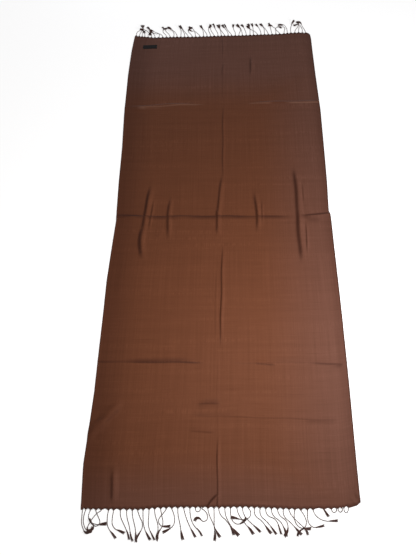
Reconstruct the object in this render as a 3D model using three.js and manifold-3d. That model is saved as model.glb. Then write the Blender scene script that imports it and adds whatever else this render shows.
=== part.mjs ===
import * as THREE from 'three';
import { mergeVertices } from 'three/addons/utils/BufferGeometryUtils.js';
import Module from 'manifold-3d';

const wasm = await Module();
wasm.setup();

// A fringed shawl laid flat, in millimetres.
// X runs across the cloth and Y along it, from the near end to the far end that carries the label.
// The floor is at Z 0, and the origin is under the middle of the cloth.

// Driving sizes
const CLOTH_WIDTH = 700;
const CLOTH_LENGTH = 1640;
const CLOTH_WALL = 1;
const SEAM_GAP = 0.3;
const STRIP_WIDTH = 5;
const TASSEL_LENGTH = 73;
const FAR_TASSEL_SHARE = 63 / 73;
const CORD_LENGTH = 51;
const FLOOR_CLEARANCE = 0.25;
const LABEL = { x: -282, y: 767, width: 55, height: 20 };

const HALF_WIDTH = CLOTH_WIDTH / 2;
const HALF_LENGTH = CLOTH_LENGTH / 2;

// How far each long side stands outside a straight line, at stations along the cloth
const SIDE_EDGES = [
  { y: -830, left: -3, right: -2 },
  { y: -720, left: 5, right: -1 },
  { y: -540, left: -2, right: 1 },
  { y: -330, left: -2, right: 2 },
  { y: -215, left: -1, right: 1 },
  { y: -93, left: -6, right: 0 },
  { y: -6, left: -10, right: 0 },
  { y: 10, left: -9, right: -1 },
  { y: 24, left: -8, right: -5 },
  { y: 132, left: -4, right: -1 },
  { y: 282, left: -2, right: 1 },
  { y: 443, left: 5, right: 3 },
  { y: 619, left: 7, right: -2 },
  { y: 744, left: 4, right: -4 },
  { y: 800, left: 0, right: -4 },
  { y: 830, left: -4, right: -8 },
];

// How far each fringed end stands outside a straight line, at stations across the cloth
const END_EDGES = [
  { x: -352, near: 12, far: 2 },
  { x: -344, near: 12, far: 12 },
  { x: -325, near: 11, far: 8 },
  { x: -270, near: 10, far: -1 },
  { x: -200, near: 9, far: 0 },
  { x: -150, near: 5, far: -1 },
  { x: -100, near: 3, far: -2 },
  { x: 0, near: 1, far: 0 },
  { x: 60, near: -2, far: -1 },
  { x: 150, near: 0, far: 1 },
  { x: 200, near: 0, far: 2 },
  { x: 240, near: -2, far: 4 },
  { x: 270, near: -3, far: 7 },
  { x: 300, near: -4, far: 8 },
  { x: 325, near: -8, far: 6 },
  { x: 338, near: -10, far: 0 },
  { x: 352, near: -18, far: -19 },
];

// Folds and pressed creases: each is a soft ridge from one point to another, bowed sideways,
// with a narrow flank on its left or lower side and a wider one on the other
const FOLDS = [
  { from: [247, 180], to: [241, -155], bow: -5, rise: 5, steep: 9, soft: 22 },
  { from: [-238, 125], to: [-253, -135], bow: -5, rise: 4, steep: 8, soft: 19 },
  { from: [-167, 70], to: [-167, -82], bow: -7, rise: 3, steep: 7, soft: 15 },
  { from: [111, 98], to: [108, -54], bow: -3, rise: 3, steep: 7, soft: 16 },
  { from: [2, 165], to: [-17, -50], bow: -3, rise: 3, steep: 8, soft: 18 },
  { from: [5, 470], to: [4, 140], bow: 0, rise: 1.6, steep: 6, soft: 12 },
  { from: [5, -95], to: [0, -430], bow: 0, rise: 1.6, steep: 6, soft: 12 },
  { from: [-6, -670], to: [-5, -812], bow: 0, rise: 1.4, steep: 6, soft: 12 },
  { from: [112, 700], to: [111, 610], bow: 0, rise: 2, steep: 8, soft: 16 },
  { from: [-345, 3], to: [245, 5], bow: 2, rise: 1.6, steep: 7, soft: 12 },
  { from: [240, 6], to: [352, 21], bow: 1, rise: 4, steep: 8, soft: 14 },
  { from: [-348, -466], to: [-60, -462], bow: 0, rise: 1.8, steep: 7, soft: 12 },
  { from: [90, -463], to: [160, -467], bow: 0, rise: 1.6, steep: 7, soft: 12 },
  { from: [300, -456], to: [352, -466], bow: 0, rise: 1.6, steep: 7, soft: 12 },
  { from: [-352, 461], to: [-70, 475], bow: 2, rise: 1.6, steep: 7, soft: 12 },
  { from: [85, 474], to: [352, 475], bow: 0, rise: 1.6, steep: 7, soft: 12 },
  { from: [-345, -650], to: [-262, -580], bow: 0, rise: 4, steep: 12, soft: 26 },
  { from: [-276, -745], to: [-268, -822], bow: 2, rise: 3, steep: 7, soft: 16 },
];

// Where the three pressed creases cross the cloth, and where its shorter folds begin and end
const CROSS_CREASES = [-465, 5, 474];
const FOLD_ROWS = [-815, -780, -745, -640, -600, -155, -80, 22, 98, 165, 610, 655, 700];

// Tassels that lie free. After the x of the root come four headings, in degrees to the right of
// straight out: where the tassel leaves the cloth, a third of the way along, at its knot, at its tip.
const NEAR_TASSELS = [
  [-343, 0, 3, 45, 160], [-335, -20, 5, 60, 190], [-323, -30, 45, 95, 100],
  [-309, 30, 32, -125, -155], [-296, -65, -35, -25, 140], [-277, -10, 5, 48, 40],
  [-264, -10, 2, 74, 66], [-247, 0, 34, 30, 12], [-231, 2, 24, 12, 30],
  [-217, 5, 22, 12, 2], [-203, 22, 34, -36, -25], [-190, 3, 8, 32, 38],
  [-175, 2, -2, 34, 42], [-161, 5, 26, 0, -8], [-146, 14, 18, -45, 10],
  [-132, -36, -44, 82, 98], [-118, 32, 10, -62, -66], [-103, 0, 18, 10, 22],
  [-88, 15, 24, 33, 34], [-73, 2, 18, 55, 22], [-43, 75, 10, -145, -5],
  [-28, 10, 30, 26, 42], [-13, 3, 0, 8, -10], [-1, 5, 56, 34, 12],
  [14, 0, 28, 42, 46], [28, -5, 20, 110, 150], [44, 10, 40, 46, 32],
  [58, 0, 46, 52, 46], [73, 55, -60, -105, -92], [87, -15, 60, 35, 45],
  [101, -15, 55, 38, 38], [115, -5, 78, 15, 20], [129, 0, 62, 24, 8],
  [144, 8, 64, -10, -50], [158, -12, 55, 42, 48], [172, 20, 50, 50, 10],
  [186, -20, 15, 85, 92], [201, 45, 15, -70, -10], [217, -10, 10, 100, 105],
  [231, 15, 62, 95, 92],
];
const FAR_TASSELS = [
  [-341, -15, 30, 125, 165], [-330, 12, 20, 10, 5], [-318, 0, 45, 150, 165],
  [-307, -5, -10, -25, -35], [-294, 50, -50, -60, -90], [-280, -5, -15, -25, -50],
  [-266, -10, -35, -40, -30], [-251, 40, -50, -80, -85], [-235, -15, -75, -90, -92],
  [-220, -15, -45, 15, 145], [-206, -15, -40, -35, -40], [-192, 15, -15, -60, -55],
  [-178, -5, -35, -60, -62], [-163, 0, 0, -12, -25], [-148, 0, -20, -30, -25],
  [-134, -20, -40, -38, -28], [-118, -20, -45, 20, 110], [-104, -15, -5, -58, -48],
  [-88, -20, -48, -74, -70], [-73, -2, -5, -24, -20], [-59, -5, -30, -38, -15],
  [-45, -12, -22, 12, 60], [-31, -25, -26, -10, 15], [-16, 0, -24, -20, -40],
  [-3, -8, -4, -16, -4], [10, -25, -35, -30, -15], [24, 5, -25, -30, -60],
  [38, -25, -32, -30, -45], [52, 10, -22, -8, 18], [66, 12, 22, -36, -38],
  [80, -2, -12, -34, -40], [95, 0, -16, -20, -45], [110, 2, 2, -12, -25],
  [124, -8, 2, -8, -18], [139, -20, -60, -45, -20], [153, 0, -15, -28, -35],
  [167, -4, 2, -28, -38], [181, -10, -28, -42, -30], [196, -10, -8, -8, -20],
  [211, 5, -5, -62, -88], [226, -30, -40, 70, 170], [243, 8, 15, -70, -95],
  [256, 0, -5, -80, -95], [270, -3, 5, 20, 60], [285, 10, 36, 10, -60],
  [300, 5, 10, -10, -40], [314, 15, -15, -80, -92], [327, -10, -20, -30, -75],
];

// Near tassels that turn back under the cloth, so that only a loop of cord shows
const NEAR_LOOPS = [
  { from: -59, to: -47, drop: 6 },
  { from: 276, to: 288, drop: 5 },
  { from: 292, to: 302, drop: 5 },
  { from: 306, to: 317, drop: 9 },
];

// A near tassel that is folded under the cloth, so that only its brush comes out
const NEAR_BRUSH = { x: 258, heading: 35, length: 17 };

// The thickness of a tassel along its length: two-ply cord, a small knot, and a brush of loose ends
const TASSEL_SECTIONS = [
  { at: 0, radius: 0.9 },
  { at: 8, radius: 0.9 },
  { at: 16, radius: 0.9 },
  { at: 24, radius: 0.9 },
  { at: 32, radius: 0.9 },
  { at: 40, radius: 0.9 },
  { at: 48, radius: 1 },
  { at: CORD_LENGTH, radius: 1.6 },
  { at: 54, radius: 1.2 },
  { at: 63, radius: 1.7 },
  { at: TASSEL_LENGTH, radius: 1.9 },
];
const HEADING_STATIONS = [0, 0.33 * TASSEL_LENGTH, 0.7 * TASSEL_LENGTH, TASSEL_LENGTH];
const PATH_STEP = 1;
const STRAND_GAP = 0.35;
const STRAND_SLOPE = 0.45;
const ROOT_DEPTH = 3;
const SCALLOP_DEPTH = 3;

const CLOTH_FINISH = { color: 0x74462f, roughness: 0.62, metalness: 0 };
const TASSEL_FINISH = { color: 0x4a2c20, roughness: 0.75, metalness: 0 };
const LABEL_FINISH = { color: 0x14110f, roughness: 0.6, metalness: 0 };

function smooth(t) {
  const c = Math.min(Math.max(t, 0), 1);
  return c * c * (3 - 2 * c);
}

// A named column of a table, read at any place along its rows
function readColumn(table, along, column, place) {
  const last = table.length - 1;
  if (place <= table[0][along]) return table[0][column];
  if (place >= table[last][along]) return table[last][column];
  const i = table.findIndex((row) => row[along] >= place);
  const a = table[i - 1];
  const b = table[i];
  const t = (place - a[along]) / (b[along] - a[along]);
  return a[column] + (b[column] - a[column]) * t;
}

// The Y of a fringed end, measured outwards from the middle of the cloth
function endReach(end, x) {
  return HALF_LENGTH + readColumn(END_EDGES, 'x', end, x);
}

function sideX(side, y) {
  const reach = HALF_WIDTH + readColumn(SIDE_EDGES, 'y', side, y);
  return side === 'left' ? -reach : reach;
}

// The height that one fold lifts the cloth at a point
function foldHeight(fold, x, y) {
  const [x1, y1] = fold.from;
  const [x2, y2] = fold.to;
  const length = Math.hypot(x2 - x1, y2 - y1);
  const ux = (x2 - x1) / length;
  const uy = (y2 - y1) / length;
  const along = ((x - x1) * ux + (y - y1) * uy) / length;
  if (along <= 0 || along >= 1) return 0;
  const bow = fold.bow * 4 * along * (1 - along);
  const side = Math.abs(uy) > Math.abs(ux) ? -Math.sign(uy) : Math.sign(ux);
  const across = side * ((y - y1) * ux - (x - x1) * uy) - bow;
  const flank = across < 0 ? 1 + across / fold.steep : 1 - across / fold.soft;
  const taper = smooth(along / 0.3) * smooth((1 - along) / 0.3);
  return fold.rise * smooth(flank) * taper;
}

function clothHeight(x, y) {
  return Math.max(0, ...FOLDS.map((fold) => foldHeight(fold, x, y)));
}

// Grid lines through the given places, with even ones between them where they are far apart
function gridLines(low, high, pitch, places) {
  const inside = places.filter((p) => p > low + 3 && p < high - 3);
  const stops = [low, ...inside.sort((a, b) => a - b), high];
  const spread = stops.filter((p, i) => i === 0 || p === high || p - stops[i - 1] > 3);
  const lines = [low];
  for (let i = 1; i < spread.length; i += 1) {
    const count = Math.ceil((spread[i] - spread[i - 1]) / pitch);
    for (let k = 1; k <= count; k += 1) {
      lines.push(spread[i - 1] + ((spread[i] - spread[i - 1]) * k) / count);
    }
  }
  return lines;
}

// A closed sheet: a grid of top points over the same grid of bottom points, joined round the rim
function sheetGeometry(columns, rows, pointAt, lower, upper) {
  const positions = [];
  const indices = [];
  const wide = columns.length;
  for (const rise of [upper, lower]) {
    for (const v of rows) {
      for (const u of columns) {
        const [x, y, z] = pointAt(u, v);
        positions.push(x, y, z + rise);
      }
    }
  }
  const under = wide * rows.length;
  const quad = (a, b, c, d) => indices.push(a, b, c, a, c, d);
  for (let j = 0; j + 1 < rows.length; j += 1) {
    for (let i = 0; i + 1 < wide; i += 1) {
      const a = j * wide + i;
      quad(a, a + 1, a + wide + 1, a + wide);
      quad(under + a, under + a + wide, under + a + wide + 1, under + a + 1);
    }
  }
  const top = (rows.length - 1) * wide;
  for (let i = 0; i + 1 < wide; i += 1) {
    quad(i, under + i, under + i + 1, i + 1);
    quad(top + i + 1, under + top + i + 1, under + top + i, top + i);
  }
  for (let j = 0; j + 1 < rows.length; j += 1) {
    const a = j * wide;
    const b = a + wide - 1;
    quad(a + wide, under + a + wide, under + a, a);
    quad(b, under + b, under + b + wide, b + wide);
  }
  const geometry = new THREE.BufferGeometry();
  geometry.setAttribute('position', new THREE.Float32BufferAttribute(positions, 3));
  geometry.setIndex(indices);
  return geometry;
}

// The cloth's grid: even lines, and closer ones on the flanks and crests of its folds
const foldColumns = FOLDS.slice(0, 5).flatMap(({ from, to, bow, steep, soft }) => {
  const x = (from[0] + to[0]) / 2 + bow;
  return [x - steep, x, x + soft / 2, x + soft];
});
const creaseRows = CROSS_CREASES.flatMap((y) => [y - 7, y, y + 12]);
const CLOTH_COLUMNS = gridLines(-HALF_WIDTH, HALF_WIDTH, 48, foldColumns);
const CLOTH_ROWS = gridLines(-HALF_LENGTH, HALF_LENGTH, 80, [...creaseRows, ...FOLD_ROWS]);

// A grid point of the cloth's underside, between its two side edges and its two fringe strips
function clothPoint(u, v) {
  const left = sideX('left', v);
  const right = sideX('right', v);
  const x = left + ((right - left) * (u + HALF_WIDTH)) / CLOTH_WIDTH;
  const reach = endReach(v < 0 ? 'near' : 'far', x) - STRIP_WIDTH - SEAM_GAP;
  const y = (v * reach) / HALF_LENGTH;
  return [x, y, clothHeight(x, y)];
}

// The blank woven label, one gap above the cloth that it lies on
function labelGeometry() {
  const halfWide = LABEL.width / 2;
  const halfHigh = LABEL.height / 2;
  const columns = gridLines(LABEL.x - halfWide, LABEL.x + halfWide, 20, []);
  const rows = gridLines(LABEL.y - halfHigh, LABEL.y + halfHigh, 20, []);
  const pointAt = (x, y) => [x, y, clothHeight(x, y)];
  const lower = CLOTH_WALL + SEAM_GAP;
  return sheetGeometry(columns, rows, pointAt, lower, lower + CLOTH_WALL);
}

// The radius of a tassel at a distance from its root
function tasselRadius(distance) {
  return readColumn(TASSEL_SECTIONS, 'at', 'radius', distance);
}

// The heading of a tassel at a distance from its root, in radians
function tasselHeading(headings, distance) {
  const i = Math.max(1, HEADING_STATIONS.findIndex((station) => station >= distance - 1e-6));
  const t = (distance - HEADING_STATIONS[i - 1]) / (HEADING_STATIONS[i] - HEADING_STATIONS[i - 1]);
  return THREE.MathUtils.degToRad(headings[i - 1] + (headings[i] - headings[i - 1]) * t);
}

// The floor plan of a tassel, walked out from the cloth a step at a time
function tasselPath(end, [rootX, ...headings]) {
  const outwards = end === 'near' ? -1 : 1;
  const step = end === 'near' ? PATH_STEP : PATH_STEP * FAR_TASSEL_SHARE;
  const points = [];
  let x = rootX;
  let y = outwards * endReach(end, rootX);
  const first = tasselHeading(headings, 0);
  points.push({ x: x - ROOT_DEPTH * Math.sin(first) * 0.2, y: y - outwards * ROOT_DEPTH, at: 0 });
  for (let at = 0; at <= TASSEL_LENGTH; at += PATH_STEP) {
    points.push({ x, y, at });
    const heading = tasselHeading(headings, Math.min(at + PATH_STEP / 2, TASSEL_LENGTH));
    x += step * Math.sin(heading);
    y += outwards * step * Math.cos(heading);
  }
  return points.map((p) => ({ ...p, radius: tasselRadius(p.at) }));
}

// Tassels are laid on the floor one after another, the ones that run straightest first,
// and each is lifted, with an even slope, over those that it crosses
function layTassels(paths) {
  const sweep = (path) => Math.abs(path[path.length - 1].x - path[0].x);
  const laid = [];
  for (const path of [...paths].sort((a, b) => sweep(a) - sweep(b))) {
    const need = path.map((p) => {
      const rest = FLOOR_CLEARANCE + p.radius / 2;
      return laid.reduce((height, q) => {
        const reach = p.radius + q.radius + STRAND_GAP;
        const near = Math.hypot(p.x - q.x, p.y - q.y) < reach;
        return near ? Math.max(height, q.z + q.radius + p.radius / 2 + STRAND_GAP) : height;
      }, rest);
    });
    path.forEach((p, i) => {
      const heights = need.map((h, k) => h - STRAND_SLOPE * PATH_STEP * Math.max(0, Math.abs(k - i) - 4));
      p.z = i < 2 ? need[0] : Math.max(...heights);
    });
    laid.push(...path.slice(2));
  }
  return paths;
}

// A three-sided strand through the stations of a laid path
function strandGeometry(stations) {
  const positions = [];
  const indices = [];
  stations.forEach((p, i) => {
    const before = stations[Math.max(i - 1, 0)];
    const after = stations[Math.min(i + 1, stations.length - 1)];
    const heading = Math.atan2(after.y - before.y, after.x - before.x);
    const acrossX = -Math.sin(heading) * p.radius * 0.866;
    const acrossY = Math.cos(heading) * p.radius * 0.866;
    const foot = p.z - p.radius / 2;
    positions.push(p.x + acrossX, p.y + acrossY, foot);
    positions.push(p.x - acrossX, p.y - acrossY, foot);
    positions.push(p.x, p.y, p.z + p.radius);
  });
  for (let i = 0; i + 1 < stations.length; i += 1) {
    for (let k = 0; k < 3; k += 1) {
      const a = i * 3 + k;
      const b = i * 3 + ((k + 1) % 3);
      indices.push(a, b + 3, b, a, a + 3, b + 3);
    }
  }
  const last = (stations.length - 1) * 3;
  indices.push(0, 1, 2, last, last + 2, last + 1);
  const geometry = new THREE.BufferGeometry();
  geometry.setAttribute('position', new THREE.Float32BufferAttribute(positions, 3));
  geometry.setIndex(indices);
  return geometry;
}

function tasselGeometry(path) {
  const stations = TASSEL_SECTIONS.map(({ at }) => path[1 + Math.round(at / PATH_STEP)]);
  return strandGeometry([path[0], ...stations]);
}

// A cord that leaves the strip and comes back into it a little further along
function loopGeometry({ from, to, drop }) {
  const stations = [];
  const steps = 6;
  for (let i = 0; i <= steps; i += 1) {
    const turn = (Math.PI * i) / steps;
    const x = (from + to) / 2 - ((to - from) / 2) * Math.cos(turn);
    const inside = i === 0 || i === steps ? ROOT_DEPTH : 0;
    const y = -endReach('near', x) + inside - drop * Math.sin(turn);
    const radius = tasselRadius(0);
    stations.push({ x, y, z: FLOOR_CLEARANCE + radius / 2, radius });
  }
  return strandGeometry(stations);
}

// The brush end of a tassel that comes out from under the cloth
function brushGeometry({ x, heading, length }) {
  const lean = THREE.MathUtils.degToRad(heading);
  const stations = [-ROOT_DEPTH, 2, length / 2, length].map((at) => {
    const radius = tasselRadius(TASSEL_LENGTH - length + Math.max(at, 0));
    const y = -endReach('near', x) - at * Math.cos(lean);
    return { x: x + at * Math.sin(lean), y, z: FLOOR_CLEARANCE + radius / 2, radius };
  });
  return strandGeometry(stations);
}

// The narrow woven strip that holds the roots, scalloped between them where the yarns draw together
function stripGeometry(end, roots) {
  const outwards = end === 'near' ? -1 : 1;
  const seam = CLOTH_COLUMNS.map((u) => clothPoint(u, outwards * HALF_LENGTH));
  const left = seam[0][0];
  const right = seam[seam.length - 1][0];
  const cusps = [left, ...roots.filter((x) => x > left + 4 && x < right - 4), right];
  const outer = [];
  cusps.forEach((x, i) => {
    outer.push([x, endReach(end, x)]);
    if (i + 1 === cusps.length) return;
    for (const t of [0.3, 0.7]) {
      const between = x + (cusps[i + 1] - x) * t;
      outer.push([between, endReach(end, between) - SCALLOP_DEPTH]);
    }
  });
  const inner = seam.reverse().map(([x, y]) => [x, Math.abs(y) + SEAM_GAP]);
  const ring = [...outer, ...inner];
  const shape = new THREE.Shape(ring.map(([x, reach]) => new THREE.Vector2(x, outwards * reach)));
  return new THREE.ExtrudeGeometry(shape, { depth: CLOTH_WALL, bevelEnabled: false });
}

function toSolid(geometry) {
  geometry.deleteAttribute('normal');
  geometry.deleteAttribute('uv');
  const merged = mergeVertices(geometry, 1e-4);
  const vertProperties = Float32Array.from(merged.attributes.position.array);
  const triVerts = Uint32Array.from(merged.index.array);
  return new wasm.Manifold(new wasm.Mesh({ numProp: 3, vertProperties, triVerts }));
}

function fromSolid(solid) {
  const mesh = solid.getMesh();
  const geometry = new THREE.BufferGeometry();
  geometry.setAttribute('position', new THREE.BufferAttribute(mesh.vertProperties, 3));
  geometry.setIndex(new THREE.BufferAttribute(mesh.triVerts, 1));
  return geometry;
}

// One fringe: its strip, its free tassels and those that the cloth half hides, joined into one piece
function fringeGeometry(end, tassels, loops, brushes) {
  const tucked = [...loops.flatMap(({ from, to }) => [from, to]), ...brushes.map(({ x }) => x)];
  const roots = [...tassels.map(([x]) => x), ...tucked];
  const paths = layTassels(tassels.map((row) => tasselPath(end, row)));
  const strands = [...paths.map(tasselGeometry), ...loops.map(loopGeometry), ...brushes.map(brushGeometry)];
  const strip = toSolid(stripGeometry(end, roots.sort((a, b) => a - b)));
  return fromSolid(strands.map(toSolid).reduce((whole, strand) => whole.add(strand), strip));
}

function piece(name, geometry, finish) {
  geometry.computeVertexNormals();
  const mesh = new THREE.Mesh(geometry, new THREE.MeshStandardMaterial(finish));
  mesh.name = name;
  return mesh;
}

const panelGeometry = sheetGeometry(CLOTH_COLUMNS, CLOTH_ROWS, clothPoint, 0, CLOTH_WALL);
const nearGeometry = fringeGeometry('near', NEAR_TASSELS, NEAR_LOOPS, [NEAR_BRUSH]);
const farGeometry = fringeGeometry('far', FAR_TASSELS, [], []);
const shawl = new THREE.Group();
shawl.add(
  piece('cloth_panel', panelGeometry, CLOTH_FINISH),
  piece('fringe_near', nearGeometry, TASSEL_FINISH),
  piece('fringe_far', farGeometry, TASSEL_FINISH),
  piece('label', labelGeometry(), LABEL_FINISH),
);

export default shawl;
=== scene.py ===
# %% [markdown]
# # A fringed shawl, laid flat
# The real object is one long piece of thin silky cloth with a knotted fringe at both ends.
# It lies on a pale surface and is seen from above its near end.
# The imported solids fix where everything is, and each cell below dresses one of them.

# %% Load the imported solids
import math
import random

import bmesh
import bpy
import numpy as np
from mathutils import Matrix, Vector


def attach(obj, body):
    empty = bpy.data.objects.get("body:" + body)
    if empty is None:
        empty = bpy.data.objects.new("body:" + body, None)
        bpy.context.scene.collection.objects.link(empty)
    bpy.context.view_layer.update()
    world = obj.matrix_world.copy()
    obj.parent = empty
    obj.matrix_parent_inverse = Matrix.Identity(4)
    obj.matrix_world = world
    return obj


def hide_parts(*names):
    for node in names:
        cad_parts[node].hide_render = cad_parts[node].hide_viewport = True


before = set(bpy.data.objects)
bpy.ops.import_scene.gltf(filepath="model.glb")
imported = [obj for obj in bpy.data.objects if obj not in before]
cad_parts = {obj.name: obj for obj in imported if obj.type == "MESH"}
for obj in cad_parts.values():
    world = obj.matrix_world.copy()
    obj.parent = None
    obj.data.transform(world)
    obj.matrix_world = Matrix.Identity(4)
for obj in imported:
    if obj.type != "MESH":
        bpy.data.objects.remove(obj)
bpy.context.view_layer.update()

MM = 0.001
print("solids:", sorted(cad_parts))

# %% [markdown]
# ## The camera
# The photograph was taken by hand from above the near end, tilted down by 68 degrees.
# The camera could be aimed with a tracking constraint, but a matrix built from its tilt, turn
# and roll also keeps the small lean of the picture, so it is set that way.

# %% Set up the camera
CAMERA_PLACE = Vector((0.0172, -0.6765, 1.1752))
CAMERA_TILT, CAMERA_TURN, CAMERA_ROLL = (math.radians(a) for a in (68.08, -6.75, -6.24))
LENS_MM, SENSOR_MM = 27.05, 36


def camera_matrix(place, tilt, turn, roll):
    """Where the camera stands and how it is turned: tilt is down from level, turn is to the right."""
    level = Vector((math.sin(turn), math.cos(turn), 0))
    look = level * math.cos(tilt) + Vector((0, 0, -math.sin(tilt)))
    right = Vector((math.cos(turn), -math.sin(turn), 0))
    up = right.cross(look)
    rolled_right = math.cos(roll) * right + math.sin(roll) * up
    rolled_up = math.cos(roll) * up - math.sin(roll) * right
    turned = Matrix((rolled_right, rolled_up, -look)).transposed()
    return Matrix.Translation(place) @ turned.to_4x4()


def clear_selection():
    """Leave edit mode and select nothing, so that an operator acts only on what comes next."""
    if bpy.context.object and bpy.context.object.mode != "OBJECT":
        bpy.ops.object.mode_set(mode="OBJECT")
    bpy.ops.object.select_all(action="DESELECT")


clear_selection()
bpy.ops.object.camera_add()
camera = bpy.context.object
camera.name = "camera"
camera.matrix_world = camera_matrix(CAMERA_PLACE, CAMERA_TILT, CAMERA_TURN, CAMERA_ROLL)
camera.data.lens = LENS_MM
camera.data.sensor_width = SENSOR_MM
bpy.context.scene.camera = camera
print("camera at", [round(c, 3) for c in camera.matrix_world.translation])

# %% [markdown]
# ## The room
# The floor is a plain pale plane, large enough for every view. It gives off a little light of its
# own, which keeps it white to the far end, where the lamp is weaker.
# A low soft lamp stands to the right of the cloth, so that folds are dark on their left, and
# another hangs over its near half. A third, weak and cool, stands beyond the far end.
# The room's own light is stronger from the right as well.

# %% Lay the floor
FLOOR_SIZE = 30


def give(tree, socket, value):
    """Set a socket to a plain value, or link it to the output that the value is."""
    if isinstance(value, bpy.types.NodeSocket):
        tree.links.new(value, socket)
    else:
        socket.default_value = value


def give_all(tree, target, **values):
    """Set or link several inputs of a node by their names."""
    for name, value in values.items():
        give(tree, target.inputs[name.replace("_", " ")], value)


clear_selection()
bpy.ops.mesh.primitive_plane_add(size=FLOOR_SIZE, location=(0, 0, 0))
floor = bpy.context.object
floor.name = "floor"

floor_paint = bpy.data.materials.new("pale_floor")
floor_paint.use_nodes = True
give_all(floor_paint.node_tree, floor_paint.node_tree.nodes["Principled BSDF"],
         Base_Color=(0.88, 0.88, 0.88, 1), Roughness=0.9,
         Emission_Color=(1, 1, 1, 1), Emission_Strength=0.62)
floor.data.materials.append(floor_paint)
print("floor:", FLOOR_SIZE, "m across")

# %% Place the lamps
def soft_lamp(name, place, aim, size, watts, colour):
    """A square lamp of the given size in metres, turned towards a point."""
    clear_selection()
    bpy.ops.object.light_add(type="AREA", location=place)
    lamp = bpy.context.object
    lamp.name = name
    lamp.rotation_euler = (Vector(aim) - Vector(place)).to_track_quat("-Z", "Y").to_euler()
    lamp.data.shape = "SQUARE"
    lamp.data.size = size
    lamp.data.energy = watts
    lamp.data.color = colour
    lamp.visible_camera = False
    return lamp


side_lamp = soft_lamp("side_lamp", (1.15, -0.36, 0.55), (0.1, -0.2, 0), 0.3, 7.0, (0.97, 1.0, 1.06))
top_lamp = soft_lamp("top_lamp", (0.17, -0.48, 0.62), (0.1, -0.3, 0), 0.35, 2.65, (1.0, 0.94, 0.86))
far_lamp = soft_lamp("far_lamp", (-0.35, 1.5, 0.5), (-0.1, 0.75, 0), 0.3, 0.42, (0.9, 0.97, 1.1))
print("lamps:", [lamp.data.energy for lamp in (side_lamp, top_lamp, far_lamp)], "W")

# %% Light the room
def node(tree, kind, settings=None, **values):
    """A node with its settings and inputs given by name."""
    made = tree.nodes.new(kind)
    for name, value in (settings or {}).items():
        setattr(made, name, value)
    give_all(tree, made, **values)
    return made


world = bpy.data.worlds.new("studio_air")
bpy.context.scene.world = world
world.use_nodes = True
air = world.node_tree
direction = node(air, "ShaderNodeTexCoord")
sideways = node(air, "ShaderNodeSeparateXYZ", Vector=direction.outputs["Generated"])
from_right = node(air, "ShaderNodeMapRange", Value=sideways.outputs[0],
                  From_Min=-1, From_Max=1, To_Min=0.1, To_Max=0.56)
fill = air.nodes["Background"]
give_all(air, fill, Color=(1.0, 0.99, 0.99, 1), Strength=from_right.outputs[0])
backdrop = node(air, "ShaderNodeBackground", Color=(1, 1, 1, 1))
seen = node(air, "ShaderNodeLightPath")
either = node(air, "ShaderNodeMixShader")
parts = (seen.outputs["Is Camera Ray"], fill.outputs[0], backdrop.outputs[0])
for socket, part in zip(either.inputs, parts):
    give(air, socket, part)
give_all(air, air.nodes["World Output"], Surface=either.outputs[0])
bpy.context.scene.view_settings.view_transform = "Standard"
print("room light:", len(air.nodes), "nodes")

# %% [markdown]
# ## The shape of the cut
# The cloth was cut to 0.70 by 1.64 m. Lying by hand on a floor, its sides and ends wander by a few
# millimetres. Two short tables say by how much, in millimetres outwards. The sides are those of
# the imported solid, and the ends reach to where the tassels leave the cloth, past the solid strip.

# %% Outline of the cloth
CLOTH_WIDTH, CLOTH_LENGTH = 700, 1640
HALF_WIDTH, HALF_LENGTH = CLOTH_WIDTH / 2, CLOTH_LENGTH / 2

# y along the cloth, then how far the left and the right side stand outwards
SIDE_EDGES = np.array([
    (-830, -3, -2), (-720, 5, -1), (-540, -2, 1), (-330, -2, 2), (-215, -1, 1), (-93, -6, 0),
    (-6, -10, 0), (10, -9, -1), (24, -8, -5), (132, -4, -1), (282, -2, 1), (443, 5, 3),
    (619, 7, -2), (744, 4, -4), (800, 0, -4), (830, -4, -8),
])
# x across the cloth, then how far the near and the far end stand outwards
END_EDGES = np.array([
    (-352, 14, 2), (-344, 15.5, 14), (-325, 17, 11), (-270, 16, 2), (-200, 15, 3), (-150, 10, 2),
    (-100, 8, 1), (0, 6, 3), (60, 3.5, 2), (150, 5, 4), (200, 5.5, 4.5), (240, 3.5, 6),
    (270, 2.5, 9.5), (300, 1, 10), (325, -5, 8), (338, -9, 1), (352, -19, -19),
])


def side_x(side, y):
    """The x of the left (-1) or right (1) edge of the cloth, in mm."""
    return side * (HALF_WIDTH + np.interp(y, SIDE_EDGES[:, 0], SIDE_EDGES[:, 1 if side < 0 else 2]))


def end_reach(end, x):
    """How far the near (-1) or far (1) end reaches from the middle of the cloth, in mm."""
    return HALF_LENGTH + np.interp(x, END_EDGES[:, 0], END_EDGES[:, 1 if end < 0 else 2])


print("near end", end_reach(-1, 0), "far end", end_reach(1, 0))
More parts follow.
